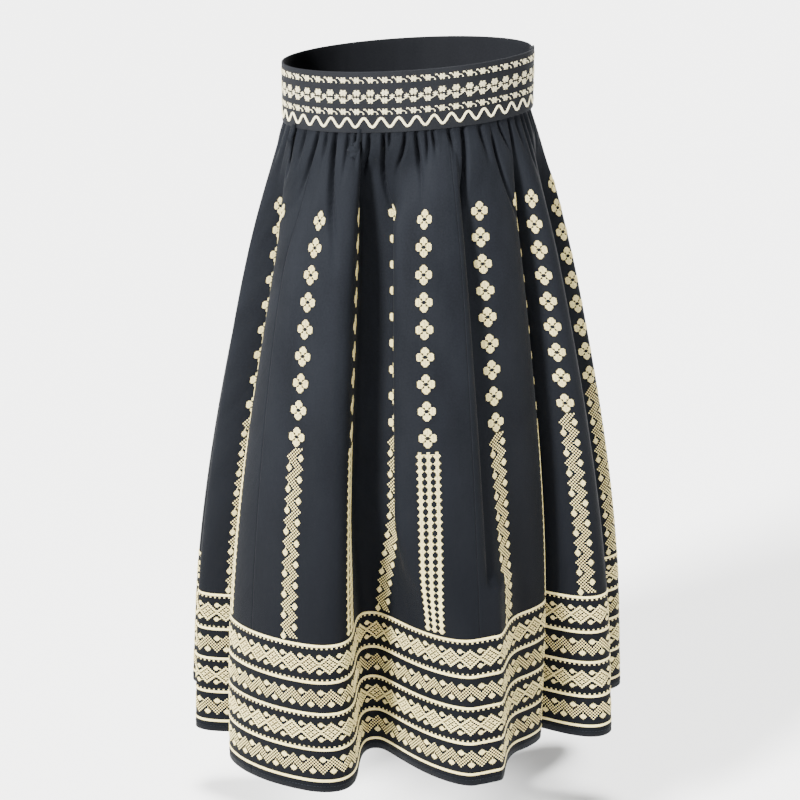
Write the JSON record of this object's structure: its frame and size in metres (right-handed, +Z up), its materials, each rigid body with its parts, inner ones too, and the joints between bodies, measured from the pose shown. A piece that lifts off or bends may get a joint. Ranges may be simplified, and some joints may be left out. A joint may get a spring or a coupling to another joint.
{
  "type": "pollera skirt",
  "caption": "Long navy skirt gathered to a wide waistband, worn and hanging in deep folds, with cream cross-stitch flowers, lattice columns and border bands",
  "frame": {"origin": "middle of the waistband ring at half its height, where the wearer's waist holds it", "axes": "+Z up along the wearer, front of the skirt faces -Y, +X is the wearer's left"},
  "size_m": [0.5796, 0.5296, 0.8769],
  "materials": {
    "waistband": "smooth navy cotton strip, matt, cream machine embroidery",
    "skirt": "smooth blackened-navy cotton with a faint sheen, cream machine embroidery"
  },
  "bodies": {
    "root": {"waistband": "waistband", "gore_front": "skirt", "gore_left_front": "skirt", "gore_left_back": "skirt", "gore_back": "skirt", "gore_right_back": "skirt", "gore_right_front": "skirt"}
  },
  "joints": []
}
